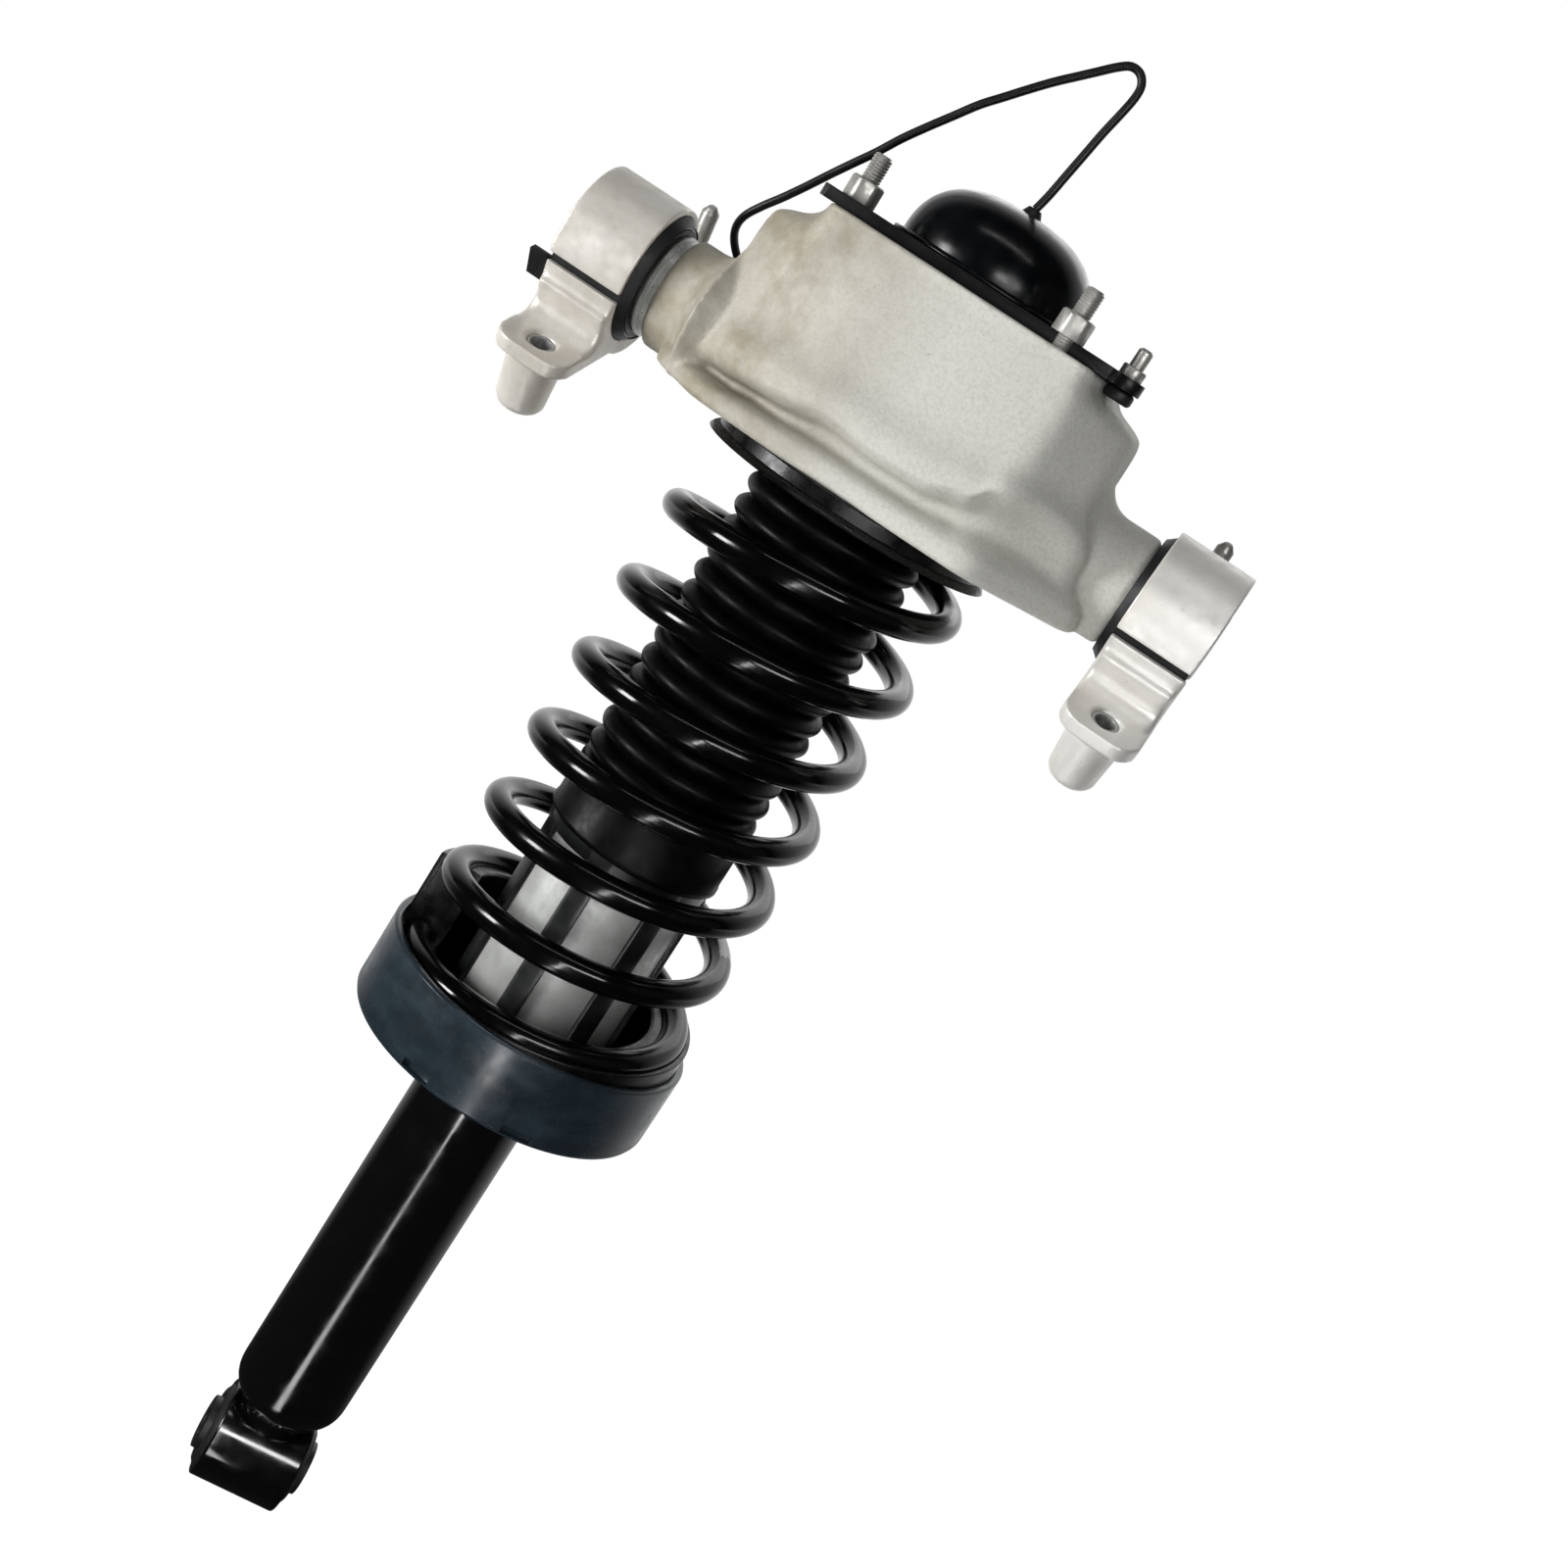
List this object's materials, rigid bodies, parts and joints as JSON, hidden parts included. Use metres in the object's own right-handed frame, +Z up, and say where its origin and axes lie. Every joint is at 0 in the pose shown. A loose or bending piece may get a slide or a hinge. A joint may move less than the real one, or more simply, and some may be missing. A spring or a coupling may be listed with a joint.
{
  "type": "suspension strut",
  "caption": "Suspension strut with a coil spring, a damper with a lower eye, and a cast upper mount that pivots on a cross axis in two rubber-bushed bearing brackets.",
  "frame": {"origin": "centre of the bolt bore in the lower eye", "axes": "+Z up the damper axis, +X along the trunnion axis of the upper mount, -Y towards the side with the bracket ears"},
  "size_m": [0.3106, 0.1724, 0.7357],
  "materials": {
    "cast_aluminium": "sand-cast, matt",
    "rubber_black": "moulded, satin",
    "isolator_rubber": "moulded, semi-gloss",
    "zinc_steel": "zinc plated",
    "machined_steel": "turned",
    "chrome_rod": "ground and chromed",
    "black_plate": "e-coated, satin",
    "black_enamel": "gloss enamel",
    "dome_plastic": "moulded, gloss",
    "black_plastic": "moulded, satin",
    "boot_rubber": "blow-moulded, satin",
    "cable_sheath": "extruded, satin",
    "slate_plastic": "moulded, satin",
    "foam": "microcellular foam",
    "band_plastic": "machined",
    "eye_steel": "phosphated, black"
  },
  "bodies": {
    "brackets": {"left_bracket": "cast_aluminium", "right_bracket": "cast_aluminium", "left_outer_rubber": "rubber_black", "right_outer_rubber": "rubber_black", "left_interleaf": "zinc_steel", "right_interleaf": "zinc_steel", "left_inner_rubber": "rubber_black", "right_inner_rubber": "rubber_black", "bracket_studs": "zinc_steel", "ear_inserts": "zinc_steel"},
    "mount": {"mount_casting": "cast_aluminium", "left_trunnion_sleeve": "zinc_steel", "right_trunnion_sleeve": "zinc_steel", "top_plate": "black_plate", "top_studs": "zinc_steel", "top_nuts": "zinc_steel", "small_stud": "zinc_steel", "small_nut": "zinc_steel", "stud_boot": "rubber_black", "dome_cap": "dome_plastic", "cable_grommet": "rubber_black", "damper_cable": "cable_sheath", "cable_connector": "black_plastic", "connector_clip": "zinc_steel", "top_mount_rubber": "rubber_black", "top_mount_core": "zinc_steel", "rod_washer": "zinc_steel", "rod_nut": "zinc_steel", "piston_rod": "chrome_rod", "piston": "machined_steel", "piston_band": "band_plastic", "piston_nut": "zinc_steel", "bump_stop": "foam", "bump_stop_cup": "black_plastic", "upper_isolator": "isolator_rubber", "coil_spring": "black_enamel", "dust_boot": "boot_rubber"},
    "damper": {"damper_tube": "black_enamel", "inner_cylinder": "machined_steel", "rod_guide": "machined_steel", "rod_seal": "rubber_black", "striker_cap": "black_plastic", "base_valve": "machined_steel", "zinc_sleeve": "zinc_steel", "sleeve_cage": "black_plastic", "seat_ring": "black_plate", "seat_circlip": "zinc_steel", "seat_cup": "slate_plastic", "lower_isolator": "isolator_rubber", "lower_eye": "black_enamel", "eye_rubber": "rubber_black"},
    "eye_sleeve": {"eye_sleeve": "eye_steel"}
  },
  "joints": [
    {"name": "trunnion_pivot", "type": "hinge", "parent": "brackets", "child": "mount", "pos_m": [0, 0, 0.545], "axis": [1, 0, 0], "range_deg": [-12, 12], "stiffness_Nm_per_rad": 60},
    {"name": "damper_stroke", "type": "slide", "parent": "mount", "child": "damper", "axis": [0, 0, 1], "range_m": [0, 0.1], "stiffness_N_per_m": 26000, "springref_m": -0.03, "deforming": ["coil_spring", "dust_boot"]},
    {"name": "eye_bush_twist", "type": "hinge", "parent": "damper", "child": "eye_sleeve", "pos_m": [0, 0, 0], "axis": [0.9511, 0.309, 0], "range_deg": [-15, 15], "stiffness_Nm_per_rad": 2}
  ]
}
